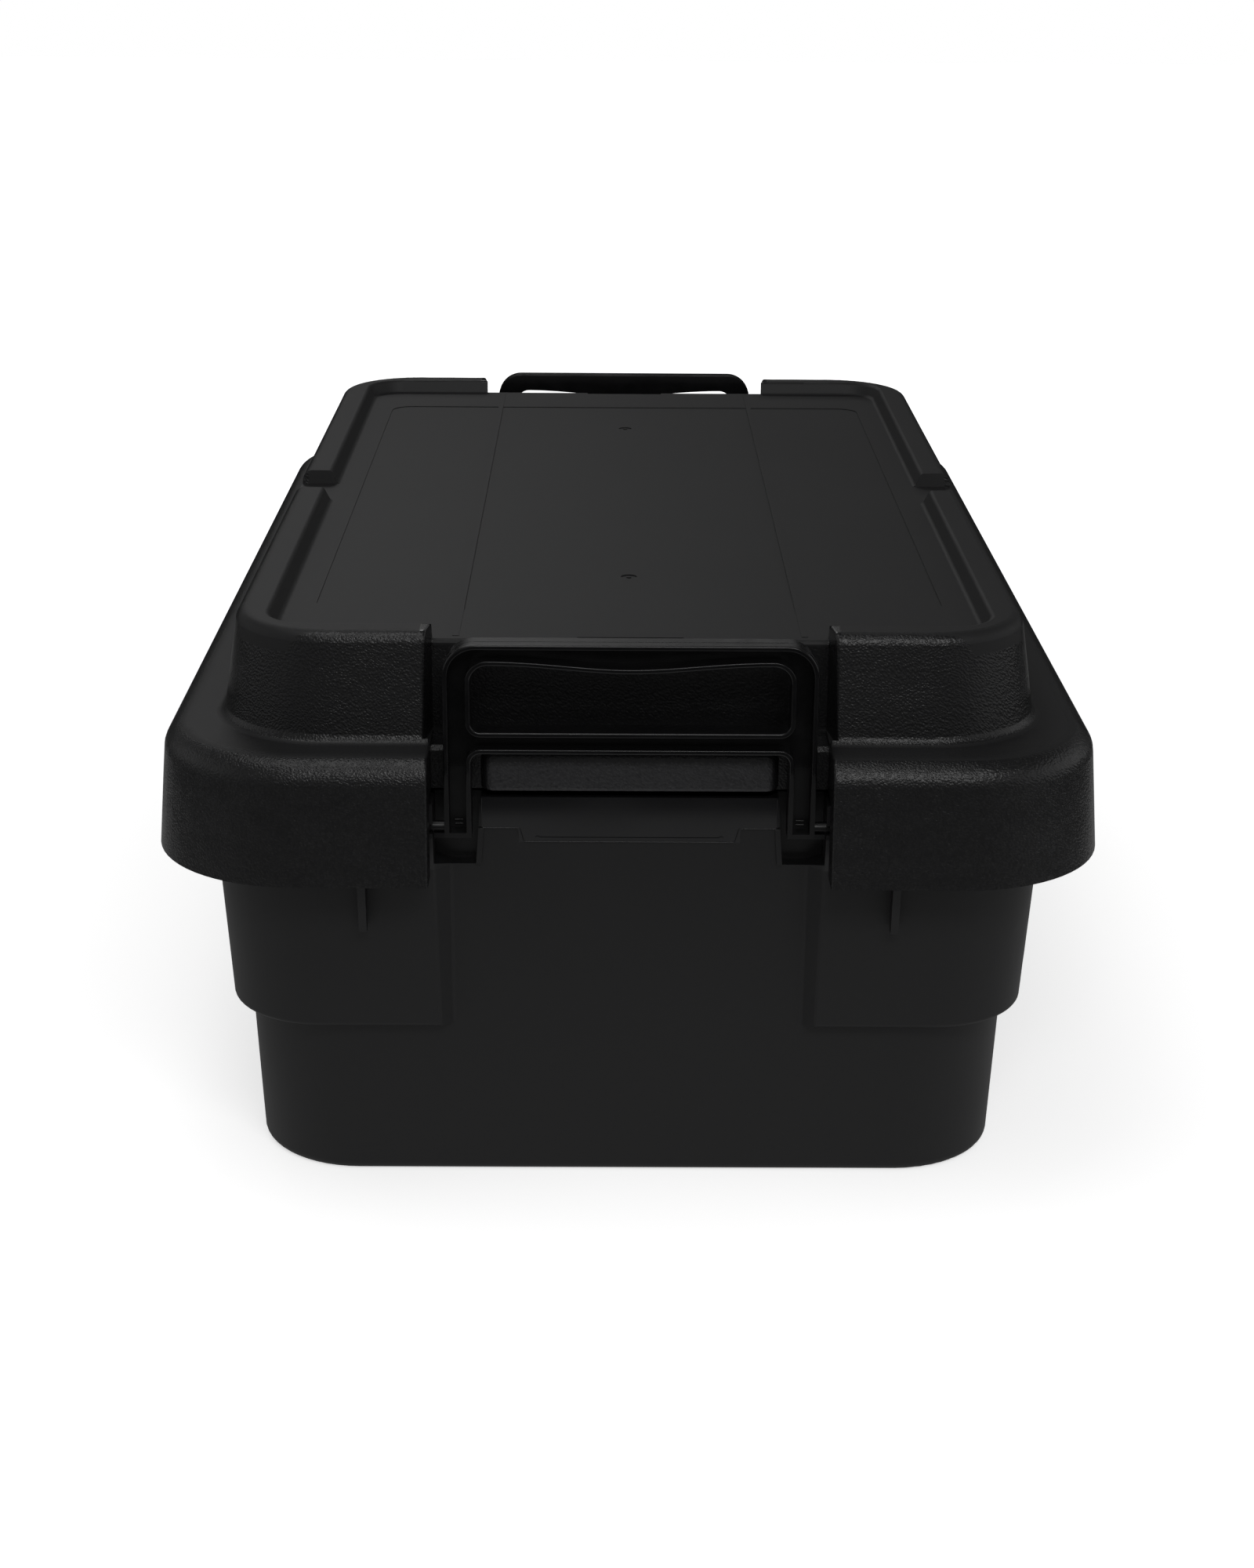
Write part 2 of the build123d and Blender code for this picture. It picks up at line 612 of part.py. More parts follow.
def nose():
    """Rounded bar under the front crossbar, which the crossbar holds down: its outside and its hollow."""
    half = NOSE_WIDTH / 2
    back = LID_POCKET_Y - WALL
    outside = slab((-half, half), (-NOSE_Y, -back), (NOSE_FOOT_Z, SHELF_Z))
    front = outside.faces().sort_by(Axis.Y)[0]
    upright = front.edges().filter_by(Axis.Z)
    outside = fillet(upright, NOSE_SIDE_RADIUS)
    front = outside.faces().sort_by(Axis.Z)
    outside = fillet(edges_before(front[-1], back), NOSE_RADIUS)
    foot = outside.faces().sort_by(Axis.Z)[0]
    outside = fillet(edges_before(foot, back), NOSE_FOOT_RADIUS)
    hollow_half = half - WALL
    hollow = slab(
        (-hollow_half, hollow_half),
        (-NOSE_Y + WALL, -back + OVERRUN),
        (NOSE_FOOT_Z - OVERRUN, SHELF_Z - WALL),
    )
    hollow_front = hollow.faces().sort_by(Axis.Y)[0]
    hollow_top = hollow_front.edges().filter_by(Axis.X).sort_by(Axis.Z)[-1]
    hollow = fillet(hollow_top, NOSE_RADIUS - WALL)
    return outside, hollow


def edges_before(face, back):
    """Edges of a horizontal face, apart from the straight one along its back."""
    return [edge for edge in face.edges() if edge.center().Y < -back - STEP_DEPTH]


def nose_seams():
    """Two fine raised lines near each end of the nose."""
    seams = []
    middle_z = (SHELF_Z - NOSE_RADIUS + NOSE_FOOT_Z + NOSE_FOOT_RADIUS) / 2
    for share in NOSE_SEAM_SHARES:
        x = share * NOSE_WIDTH
        seams.append(slab(
            (x - NOSE_SEAM_WIDTH / 2, x + NOSE_SEAM_WIDTH / 2),
            (-NOSE_Y - NOSE_SEAM_HEIGHT, -NOSE_Y + WALL / 2),
            (middle_z - NOSE_SEAM_LENGTH / 2, middle_z + NOSE_SEAM_LENGTH / 2),
        ))
    return seams


def panel_details():
    """Shallow step, runners, gate marks and scallops on the top panel: what to add and what to cut."""
    half_x = BOX_WIDTH / 2 - ridge_inner(PANEL_Z)[0] - STEP_SIDE_MARGIN
    half_y = END_Y - ridge_inner(PANEL_Z)[0] - STEP_END_MARGIN
    step = Pos(0, 0, PANEL_Z - STEP_DEPTH) * RectangleRounded(2 * half_x, 2 * half_y, STEP_CORNER)
    cuts = [extrude(step, STEP_DEPTH + OVERRUN)]
    adds = []
    runner_x = RUNNER_SPACING / 2
    runner_y = NOTCH_Y - RUNNER_END_GAP
    runner = slab(
        (runner_x - RUNNER_WIDTH / 2, runner_x + RUNNER_WIDTH / 2),
        (-runner_y, runner_y),
        (PANEL_Z - WALL / 2, PANEL_Z + RUNNER_HEIGHT),
    )
    adds += both_sides(runner)
    for y in (-GATE_SPACING / 2, GATE_SPACING / 2):
        floor_z = PANEL_Z - STEP_DEPTH - GATE_DEPTH
        cuts.append(Pos(0, y, floor_z + OVERRUN / 2) * Cylinder(GATE_DIAMETER / 2, OVERRUN))
        adds.append(Pos(0, y, floor_z) * Cylinder(GATE_STUB / 2, GATE_DEPTH + STEP_DEPTH))
    scallop = slab(
        (-SCALLOP_WIDTH / 2, SCALLOP_WIDTH / 2),
        (-NOTCH_Y - OVERRUN, -NOTCH_Y + SCALLOP_LENGTH),
        (PANEL_Z - SCALLOP_DEPTH, RIDGE_TOP + OVERRUN),
    )
    cuts += both_ends(scallop)
    return adds, cuts


def seat_rib():
    """Wall inside the lid that stands on the container's rim, left out at the notches."""
    top = LEDGE_Z - WALL / 2
    corner = SKIRT_CORNER - SEAT_RIB_INSET
    inner = SEAT_RIB_INSET + SEAT_RIB_WIDTH
    rib = drafted_block((SEAT_RIB_INSET, corner, RIM_Z), (SEAT_RIB_INSET, corner, top))
    rib -= drafted_block(
        (inner, corner - SEAT_RIB_WIDTH, RIM_Z - OVERRUN),
        (inner, corner - SEAT_RIB_WIDTH, top + OVERRUN),
    )
    reach = RIM_GAP_WIDTH / 2
    gap = slab((-reach, reach), (-END_Y, -NOTCH_Y), (RIM_Z - OVERRUN, top + OVERRUN))
    for cutter in both_ends(gap):
        rib -= cutter
    return rib


def is_notch_edge(edge):
    """True for the edges where the sides of the notches meet the outside of the lid."""
    place = edge.center()
    beside = NOTCH_WIDTH / 2 - STEP_DEPTH < abs(place.X) < NOTCH_WIDTH / 2 + NOTCH_FLARE + STEP_DEPTH
    box = edge.bounding_box()
    outside = place.Z > LEDGE_Z + TIER_FOOT_RADIUS and abs(place.Y) > NOTCH_Y + NOTCH_DRAFT
    above = outside and box.size.Z > 2 * STEP_DEPTH and abs(place.Y) > END_Y - TIER_INSET - TIER_DRAFT
    skirt = place.Z < LEDGE_Z - SHOULDER_RADIUS and abs(place.Y) > END_Y - SHOULDER_RADIUS
    return beside and (above or (skirt and box.size.Z > SHOULDER_RADIUS))


def make_lid():
    """The upper moulding: one shell with ridge, notches, noses and seat rib."""
    adds, cuts = panel_details()
    body = lid_outside()
    for cutter in both_sides(belt_gap(0)):
        body -= cutter
    for cutter in both_ends(notch_cutter()):
        body -= cutter
    body = fillet([edge for edge in body.edges() if is_notch_edge(edge)], NOTCH_EDGE_RADIUS)
    for cutter in both_ends(ridge_cutter()):
        body -= cutter
    hollow = lid_inside()
    for keep in both_ends(notch_keep()):
        hollow -= keep
    body -= hollow
    for cutter in cuts:
        body -= cutter
    for piece in adds:
        body += piece
    nose_outside, nose_hollow = nose()
    for seam in nose_seams():
        nose_outside += seam
    for piece in both_ends(nose_outside):
        body += piece
    for cutter in both_ends(nose_hollow):
        body -= cutter
    return body + seat_rib()


def handle_outline(inward):
    """Outer outline of a handle, moved inward by a distance."""
    half = HANDLE_WIDTH / 2 - inward
    low = FOOT_Z + inward
    high = GRIP_TOP - inward
    corner = HANDLE_CORNER - inward
    outline = [
        Line((-half, low), (half, low)),
        Line((half, low), (half, high - corner)),
        RadiusArc((half, high - corner), (half - corner, high), -corner),
        Line((half - corner, high), (-half + corner, high)),
        RadiusArc((-half + corner, high), (-half, high - corner), -corner),
        Line((-half, high - corner), (-half, low)),
    ]
    return make_face(outline)


def finger_opening(outward):
    """Opening under the grip, moved outward by a distance. Its top edge bulges down in the middle."""
    half = LEG_INNER_X + outward
    low = OPENING_Z - outward
    high = GRIP_TOP - GRIP_END_HEIGHT + outward
    top_corner = GRIP_INNER_CORNER + outward
    low_corner = CROSSBAR_CORNER + outward
    middle = (0, high - GRIP_BULGE)
    left = (-1, 0)
    outline = [
        Line((-half + low_corner, low), (half - low_corner, low)),
        RadiusArc((half - low_corner, low), (half, low + low_corner), -low_corner),
        Line((half, low + low_corner), (half, high - top_corner)),
        RadiusArc((half, high - top_corner), (half - top_corner, high), -top_corner),
        Spline((half - top_corner, high), middle, (-half + top_corner, high), tangents=[left, left]),
        RadiusArc((-half + top_corner, high), (-half, high - top_corner), -top_corner),
        Line((-half, high - top_corner), (-half, low + low_corner)),
        RadiusArc((-half, low + low_corner), (-half + low_corner, low), -low_corner),
    ]
    return make_face(outline)


def leg_gap(outward):
    """Gap between the legs, under the crossbar, moved outward by a distance."""
    half = LEG_INNER_X + outward
    high = CROSSBAR_Z + outward
    low = FOOT_Z - OVERRUN
    corner = CROSSBAR_CORNER + outward
    outline = [
        Line((-half, low), (half, low)),
        Line((half, low), (half, high - corner)),
        RadiusArc((half, high - corner), (half - corner, high), -corner),
        Line((half - corner, high), (-half + corner, high)),
        RadiusArc((-half + corner, high), (-half, high - corner), -corner),
        Line((-half, high - corner), (-half, low)),
    ]
    return make_face(outline)


def make_front_handle():
    """Grip, crossbar and two legs in one channel-shaped moulding, with a stub pin outside each foot."""
    frame = handle_outline(0) - finger_opening(0) - leg_gap(0)
    body = extrude(end_plane(HANDLE_BACK_Y) * frame, HANDLE_DEPTH)
    feet = [edge for edge in body.edges().filter_by(Axis.X) if is_foot_edge(edge)]
    body = fillet(feet, FOOT_RADIUS)
    front_edges = body.faces().sort_by(Axis.Y)[0].edges()
    body = fillet(front_edges, HANDLE_EDGE_RADIUS)
    channel = handle_outline(FLANGE) - finger_opening(FLANGE) - leg_gap(FLANGE)
    body -= extrude(end_plane(HANDLE_BACK_Y + WEB) * channel, HANDLE_DEPTH)
    brink = (end_plane(HANDLE_FRONT_Y) * channel).wires()
    body = fillet([edge for edge in body.edges() if lies_on(edge, brink)], CHANNEL_EDGE_RADIUS)
    taper = [
        (-HANDLE_FRONT_Y, FOOT_Z + LEG_TAPER_LENGTH),
        (-HANDLE_FRONT_Y + LEG_TAPER, FOOT_Z),
        (-HANDLE_FRONT_Y - LEG_TAPER, FOOT_Z),
    ]
    body -= side_profile(taper, HANDLE_WIDTH)
    side = HANDLE_WIDTH / 2
    pin_end = EAR_X + EAR_THICKNESS - HANDLE_EDGE_RADIUS / 2
    pin_start = side - FLANGE
    pin = Pos((pin_start + pin_end) / 2, -PIN_Y, PIN_Z) * Rot(0, 90, 0)
    stub = pin * Cylinder(PIN_DIAMETER / 2, pin_end - pin_start)
    stub = chamfer(stub.edges().sort_by(Axis.X)[-1], HANDLE_EDGE_RADIUS / 2)
    bar_y = HANDLE_FRONT_Y - LEG_TAPER
    shelf = slab((pin_start, EAR_X - SWING_SIDE_GAP), (-bar_y, -PIN_Y), (FOOT_Z, FOOT_Z + FLANGE))
    for piece in both_sides(stub + shelf):
        body += piece
    return body


def lies_on(edge, wires):
    """True for an edge that runs along one of the wires."""
    places = [edge.position_at(share) for share in EDGE_SHARES]
    return any(all(wire.distance_to(place) < TOUCH for place in places) for wire in wires)


def is_foot_edge(edge):
    """True for the lower back edge of a leg's foot."""
    place = edge.center()
    return abs(place.Z - FOOT_Z) < STEP_DEPTH and abs(place.Y + HANDLE_BACK_Y) < STEP_DEPTH


def main():
    os.makedirs("parts", exist_ok=True)
    front_handle = make_front_handle()
    pieces = {
        "container": make_container(),
        "lid": make_lid(),
        "front_handle": front_handle,
        "rear_handle": mirror(front_handle, about=Plane.XZ),
    }
    for name, shape in pieces.items():
        export_step(shape, f"parts/{name}.step")


main()
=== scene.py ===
"""Looks of the black utility storage box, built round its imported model. Lengths are in metres."""
import math

import bpy
from mathutils import Matrix, Vector


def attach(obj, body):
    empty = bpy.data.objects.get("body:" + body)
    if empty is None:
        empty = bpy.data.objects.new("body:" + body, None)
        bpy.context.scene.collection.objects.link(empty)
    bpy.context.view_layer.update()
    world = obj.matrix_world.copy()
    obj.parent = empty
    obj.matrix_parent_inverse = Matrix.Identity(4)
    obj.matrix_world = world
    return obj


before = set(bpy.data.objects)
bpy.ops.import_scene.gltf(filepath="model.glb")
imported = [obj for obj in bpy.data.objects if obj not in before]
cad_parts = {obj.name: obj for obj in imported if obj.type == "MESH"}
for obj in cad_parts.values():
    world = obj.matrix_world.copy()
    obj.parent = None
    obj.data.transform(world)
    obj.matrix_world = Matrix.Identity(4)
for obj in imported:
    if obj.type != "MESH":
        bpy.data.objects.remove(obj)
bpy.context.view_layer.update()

# ---------------------------------------------------------------- The container
# The container is the lower moulding, of black polypropylene copolymer. It is injected into a
# steel mould whose walls were spark eroded. The pad under each nose was polished in the mould, and
# the pockets for the handles' feet were half polished. Nothing is fixed to it.
MM = 0.001
CONTAINER_DARK = "#151516"
CONTAINER_LIGHT = "#1a1a1b"
CONTAINER_CLOUD = 70 * MM
CLOUD_RANGE = (0.3, 0.7)
MATT_ROUGHNESS = (0.50, 0.56)
POLISH_CHANGE = -0.43
EROSION_GRAIN = 0.55 * MM
EROSION_DEPTH = 0.030 * MM
EROSION_LEFT_BY_POLISH = 0.06
PAD_HALF_WIDTH = 60.2 * MM
PAD_BOTTOM = 159.3 * MM
TAB_HALF_WIDTH = 44.9 * MM
TAB_BOTTOM = 153.2 * MM
POCKET_INNER = 60.3 * MM
POCKET_OUTER = 81.0 * MM
POCKET_BOTTOM = 143.6 * MM
POCKET_POLISH = 0.4
END_FACE_Y = 262.0 * MM
MASK_EDGE = 0.15 * MM
POLYPROPYLENE_IOR = 1.49
SMOOTH = {"interpolation_type": "SMOOTHSTEP"}


def linear(hex_colour):
    """RGBA in linear light from an sRGB colour written as #rrggbb."""
    channels = [int(hex_colour[start:start + 2], 16) / 255 for start in (1, 3, 5)]
    return [c / 12.92 if c <= 0.04045 else ((c + 0.055) / 1.055) ** 2.4 for c in channels] + [1]


def add(tree, kind, settings, inputs):
    """Adds a node with its settings, sets or links its inputs by number or name, and gives its outputs."""
    node = tree.nodes.new(kind)
    for name, value in settings.items():
        setattr(node, name, value)
    for key, value in inputs.items():
        if isinstance(value, bpy.types.NodeSocket):
            tree.links.new(value, node.inputs[key])
        else:
            node.inputs[key].default_value = value
    return node.outputs


def zone(tree, *limits):
    """A mask: 1 where every value has gone from its first limit to its second, and 0 before them."""
    reached = [add(tree, "ShaderNodeMapRange", SMOOTH, {0: value, 1: outside, 2: inside})[0]
               for value, outside, inside in limits]
    mask = reached.pop(0)
    for other in reached:
        mask = add(tree, "ShaderNodeMath", {"operation": "MULTIPLY"}, {0: mask, 1: other})[0]
    return mask


def moulded_polypropylene(name):
    """A new material with its tree, its shader, the place on the piece, and that place's |x|, |y| and z."""
    material = bpy.data.materials.new(name)
    material.use_nodes = True
    tree = material.node_tree
    shader = tree.nodes["Principled BSDF"].inputs
    shader["IOR"].default_value = POLYPROPYLENE_IOR
    place = add(tree, "ShaderNodeTexCoord", {}, {})["Object"]
    folded = add(tree, "ShaderNodeVectorMath", {"operation": "ABSOLUTE"}, {0: place})[0]
    return material, tree, shader, place, add(tree, "ShaderNodeSeparateXYZ", {}, {0: folded})


# Spark-eroded polypropylene: an even satin black whose fine grit spreads every reflection. The
# real grit is finer, and is drawn at 0.55 mm so that it shows at all.
matt_wall, tree, shader, place, (across, along, height) = moulded_polypropylene(
    "container_spark_eroded_polypropylene")
pad = zone(tree, (across, PAD_HALF_WIDTH + MASK_EDGE, PAD_HALF_WIDTH),
           (height, PAD_BOTTOM - MASK_EDGE, PAD_BOTTOM))
tab = zone(tree, (across, TAB_HALF_WIDTH + MASK_EDGE, TAB_HALF_WIDTH),
           (height, TAB_BOTTOM - MASK_EDGE, TAB_BOTTOM))
pocket = zone(tree, (across, POCKET_INNER - MASK_EDGE, POCKET_INNER),
              (across, POCKET_OUTER + MASK_EDGE, POCKET_OUTER),
              (height, POCKET_BOTTOM - MASK_EDGE, POCKET_BOTTOM))
pocket = add(tree, "ShaderNodeMath", {"operation": "MULTIPLY"}, {0: pocket, 1: POCKET_POLISH})[0]
polished = add(tree, "ShaderNodeMath", {"operation": "MAXIMUM"}, {0: pad, 1: tab})[0]
polished = add(tree, "ShaderNodeMath", {"operation": "MAXIMUM"}, {0: polished, 1: pocket})[0]
polished = add(tree, "ShaderNodeMath", {"operation": "MULTIPLY"}, {
    0: polished, 1: zone(tree, (along, END_FACE_Y - MASK_EDGE, END_FACE_Y)),
})[0]
cloud = add(tree, "ShaderNodeTexNoise", {}, {
    "Vector": place, "Scale": 1 / CONTAINER_CLOUD, "Detail": 1.0,
})["Fac"]
black = add(tree, "ShaderNodeMix", {"data_type": "RGBA"}, {
    "Factor": cloud, "A": linear(CONTAINER_DARK), "B": linear(CONTAINER_LIGHT),
})[2]
matt = add(tree, "ShaderNodeMapRange", SMOOTH, {
    "Value": cloud, "From Min": CLOUD_RANGE[0], "From Max": CLOUD_RANGE[1],
    "To Min": MATT_ROUGHNESS[0], "To Max": MATT_ROUGHNESS[1],
})[0]
smoother = add(tree, "ShaderNodeMapRange", SMOOTH, {"Value": polished, "To Max": POLISH_CHANGE})[0]
roughness = add(tree, "ShaderNodeMath", {"operation": "ADD"}, {0: matt, 1: smoother})[0]
grit = add(tree, "ShaderNodeTexNoise", {}, {
    "Vector": place, "Scale": 1 / EROSION_GRAIN, "Detail": 2.0, "Roughness": 0.6,
})["Fac"]
grit_strength = add(tree, "ShaderNodeMapRange", SMOOTH, {
    "Value": polished, "To Min": 1.0, "To Max": EROSION_LEFT_BY_POLISH,
})[0]
erosion = add(tree, "ShaderNodeBump", {}, {
    "Strength": grit_strength, "Distance": EROSION_DEPTH, "Height": grit,
})[0]
tree.links.new(black, shader["Base Color"])
tree.links.new(roughness, shader["Roughness"])
tree.links.new(erosion, shader["Normal"])
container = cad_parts["container"]
container.data.materials.clear()
container.data.materials.append(matt_wall)

# ---------------------------------------------------------- The beads on the pads
# The polished pad at each end has a fine raised bead along its edge, moulded with the wall. It
# catches the light as a thin line. Its path is the pad's outline, with the tab in the middle.
BEAD_RADIUS = 0.24 * MM
BEAD_CORNER = 0.8 * MM
BEAD_OUTLINE_MM = ((-59.8, 172.6), (-59.8, 159.7), (-44.4, 159.7), (-42.8, 153.7),
                   (42.8, 153.7), (44.4, 159.7), (59.8, 159.7), (59.8, 172.6))
PAD_FACE_AT_FLOOR = 264.9 * MM
PAD_FACE_LEAN = 0.04503
CORNER_POINTS = 8
BEAD_SIDES = 10
ENDS = (("front", -1), ("rear", 1))


def new_shape_tree(name, *inputs):
    """An empty Geometry Nodes tree with named inputs and one output, and the sockets of its inputs."""
    tree = bpy.data.node_groups.new(name, "GeometryNodeTree")
    for label, kind in inputs:
        tree.interface.new_socket(label, in_out="INPUT", socket_type="NodeSocket" + kind)
    tree.interface.new_socket("Mesh", in_out="OUTPUT", socket_type="NodeSocketGeometry")
    return tree, add(tree, "NodeGroupInput", {}, {})


def finish_shape_tree(tree, shape, material):
    """Ends a tree: its instances are made real and take the material."""
    real = add(tree, "GeometryNodeRealizeInstances", {}, {"Geometry": shape})[0]
    finished = add(tree, "GeometryNodeSetMaterial", {}, {"Geometry": real, "Material": material})[0]
    add(tree, "NodeGroupOutput", {}, {"Mesh": finished})


def bead_tree(name, material):
    """A tree that rounds the corners of a path and sweeps a round bead along it."""
    tree, given = new_shape_tree(name, ("Path", "Geometry"), ("Radius", "Float"), ("Corner", "Float"))
    rounded = add(tree, "GeometryNodeFilletCurve", {"mode": "POLY"}, {
        "Curve": given["Path"], "Count": CORNER_POINTS, "Radius": given["Corner"], "Limit Radius": True,
    })[0]
    ring = add(tree, "GeometryNodeCurvePrimitiveCircle", {"mode": "RADIUS"}, {
        "Resolution": BEAD_SIDES, "Radius": given["Radius"],
    })[0]
    swept = add(tree, "GeometryNodeCurveToMesh", {}, {
        "Curve": rounded, "Profile Curve": ring, "Fill Caps": True,
    })[0]
    finish_shape_tree(tree, swept, material)
    return tree


def polyline(points):
    """A curve object of straight runs through points."""
    curve = bpy.data.curves.new("path", "CURVE")
    curve.dimensions = "3D"
    spline = curve.splines.new("POLY")
    spline.points.add(len(points) - 1)
    for point, place in zip(spline.points, points):
        point.co = (*place, 1)
    return bpy.data.objects.new("path", curve)


def grow(name, start, tree, sizes, body):
    """Makes a plain mesh of a tree's shape from a starting object. The piece rides on a body."""
    bpy.context.scene.collection.objects.link(start)
    modifier = start.modifiers.new("shape", "NODES")
    modifier.node_group = tree
    for item in tree.interface.items_tree:
        if item.in_out == "INPUT" and item.name in sizes:
            modifier[item.identifier] = sizes[item.name]
    evaluated = start.evaluated_get(bpy.context.evaluated_depsgraph_get())
    mesh = bpy.data.meshes.new_from_object(evaluated)
    mesh.name = name
    bpy.data.objects.remove(start)
    piece = bpy.data.objects.new(name, mesh)
    bpy.context.scene.collection.objects.link(piece)
    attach(piece, body)


pad_bead = bead_tree("moulded_bead", matt_wall)
for end, side in ENDS:
    outline = [(x * MM, side * (PAD_FACE_AT_FLOOR + PAD_FACE_LEAN * z * MM), z * MM)
               for x, z in BEAD_OUTLINE_MM]
    grow(end + "_pad_bead", polyline(outline), pad_bead,
         {"Radius": BEAD_RADIUS, "Corner": BEAD_CORNER}, "container")

# ---------------------------------------------------------------------- The lid
# The lid is the upper moulding, of the same black polypropylene. Its mould was etched with a
# leather grain on the outer faces that stand up and on the roundings between them. The sunken top
# panel, the flat of its ridge and the flat of the ledge have a fine even texture instead.
LID_DARK = "#111112"
LID_LIGHT = "#171718"
LID_CLOUD = 80 * MM
GRAINED_ROUGHNESS = 0.34
FINE_ROUGHNESS = 0.58
GRAIN_LENGTH = 1.7 * MM
GRAIN_WIDTH = 0.85 * MM
GRAIN_DEPTH = 0.17 * MM
GRAIN_TURN = (0, math.radians(35), math.radians(45))
FLOW_SIZE = 16 * MM
FLOW_SHIFT = 5 * MM
PEBBLE_RANGE = (0.15, 0.75)
PEBBLE_SHARE = 0.55
RIPPLE_SHARE = 0.9
FINE_TEXTURE = 0.8 * MM
FINE_TEXTURE_DEPTH = 0.040 * MM
PANEL_HALF_WIDTH = 158.5 * MM
PANEL_HALF_LENGTH = 263.5 * MM
PANEL_FOOT = 231.5 * MM
LEDGE_HEIGHT = 196.0 * MM
LEDGE_FADE = 0.9 * MM
RIDGE_END_INNER = 79.6 * MM
RIDGE_END_OUTER = 83.4 * MM
RIDGE_END_Y = 253 * MM
RIDGE_END_CHANGE = 0.40
NOSE_HALF_WIDTH = 60.0 * MM
NOSE_FRONT = 274.5 * MM
NOSE_TOP = (192 * MM, 186 * MM)
# The grey of the painted sheen on the noses' fronts.
NOSE_PAINTED_SHEEN = "#363638"

# Etched polypropylene: a deep black broken by small glints, since the leather grain's pebbles are
# about 1.7 by 0.85 mm and lean one way. The noses' fronts are painted greyer in the grain's ripple
# pattern. This is a painted sheen for the light that their rounded fronts catch. The even texture is
# finer on the real lid, and is drawn at 0.8 mm so that it shows.
leather, tree, shader, place, (across, along, height) = moulded_polypropylene(
    "lid_leather_grained_polypropylene")
flow = add(tree, "ShaderNodeTexNoise", {}, {"Vector": place, "Scale": 1 / FLOW_SIZE, "Detail": 1.0})["Color"]
centred = add(tree, "ShaderNodeVectorMath", {"operation": "SUBTRACT"}, {0: flow, 1: (0.5, 0.5, 0.5)})[0]
shifted = add(tree, "ShaderNodeVectorMath", {"operation": "MULTIPLY_ADD"}, {
    0: centred, 1: (FLOW_SHIFT, FLOW_SHIFT, FLOW_SHIFT), 2: place,
})[0]
drawn = add(tree, "ShaderNodeMapping", {"vector_type": "TEXTURE"}, {
    "Vector": shifted, "Rotation": GRAIN_TURN, "Scale": (GRAIN_LENGTH, GRAIN_WIDTH, GRAIN_WIDTH),
})[0]
cells = add(tree, "ShaderNodeTexVoronoi", {"feature": "SMOOTH_F1"}, {
    "Vector": drawn, "Scale": 1.0, "Smoothness": 0.5, "Randomness": 1.0,
})["Distance"]
pebbles = add(tree, "ShaderNodeMapRange", SMOOTH, {
    "Value": cells, "From Min": PEBBLE_RANGE[0], "From Max": PEBBLE_RANGE[1], "To Min": 1.0, "To Max": 0.0,
})[0]
ripples = add(tree, "ShaderNodeTexNoise", {}, {
    "Vector": drawn, "Scale": 0.9, "Detail": 2.0, "Distortion": 0.6,
})["Fac"]
pebble_height = add(tree, "ShaderNodeMath", {"operation": "MULTIPLY"}, {0: pebbles, 1: PEBBLE_SHARE})[0]
hide = add(tree, "ShaderNodeMath", {"operation": "MULTIPLY_ADD"}, {
    0: ripples, 1: RIPPLE_SHARE, 2: pebble_height,
})[0]
panel = zone(tree, (across, PANEL_HALF_WIDTH + MM, PANEL_HALF_WIDTH),
             (along, PANEL_HALF_LENGTH + MM, PANEL_HALF_LENGTH), (height, PANEL_FOOT - MM, PANEL_FOOT))
above_ledge = add(tree, "ShaderNodeMath", {"operation": "SUBTRACT"}, {0: height, 1: LEDGE_HEIGHT})[0]
from_ledge = add(tree, "ShaderNodeMath", {"operation": "ABSOLUTE"}, {0: above_ledge})[0]
fine = add(tree, "ShaderNodeMath", {"operation": "MAXIMUM"}, {
    0: panel, 1: zone(tree, (from_ledge, LEDGE_FADE, LEDGE_FADE / 2)),
})[0]
ridge_end = zone(tree, (across, RIDGE_END_INNER - MASK_EDGE, RIDGE_END_INNER),
                 (across, RIDGE_END_OUTER + MM, RIDGE_END_OUTER), (along, RIDGE_END_Y - MM, RIDGE_END_Y))
ridge_end = add(tree, "ShaderNodeMath", {"operation": "MULTIPLY"}, {0: ridge_end, 1: panel})[0]
# Painted sheen: the noses' fronts are made greyer in the grain's ripple pattern. It stands in for the light
# and glints that their rounded fronts catch.
on_nose = zone(tree, (across, NOSE_HALF_WIDTH, NOSE_HALF_WIDTH - 2 * MM),
               (along, NOSE_FRONT - 1.2 * MM, NOSE_FRONT - 0.4 * MM), (height, *NOSE_TOP))
painted_sheen = add(tree, "ShaderNodeMath", {"operation": "MULTIPLY"}, {0: on_nose, 1: ripples})[0]
cloud = add(tree, "ShaderNodeTexNoise", {}, {"Vector": place, "Scale": 1 / LID_CLOUD, "Detail": 2.0})["Fac"]
black = add(tree, "ShaderNodeMix", {"data_type": "RGBA"}, {
    "Factor": cloud, "A": linear(LID_DARK), "B": linear(LID_LIGHT),
})[2]
black_with_painted_sheen = add(tree, "ShaderNodeMix", {"data_type": "RGBA"}, {
    "Factor": painted_sheen, "A": black, "B": linear(NOSE_PAINTED_SHEEN),
})[2]
texture_roughness = add(tree, "ShaderNodeMapRange", SMOOTH, {
    "Value": fine, "To Min": GRAINED_ROUGHNESS, "To Max": FINE_ROUGHNESS,
})[0]
smoother = add(tree, "ShaderNodeMath", {"operation": "MULTIPLY"}, {0: ridge_end, 1: RIDGE_END_CHANGE})[0]
roughness = add(tree, "ShaderNodeMath", {"operation": "SUBTRACT"}, {0: texture_roughness, 1: smoother})[0]
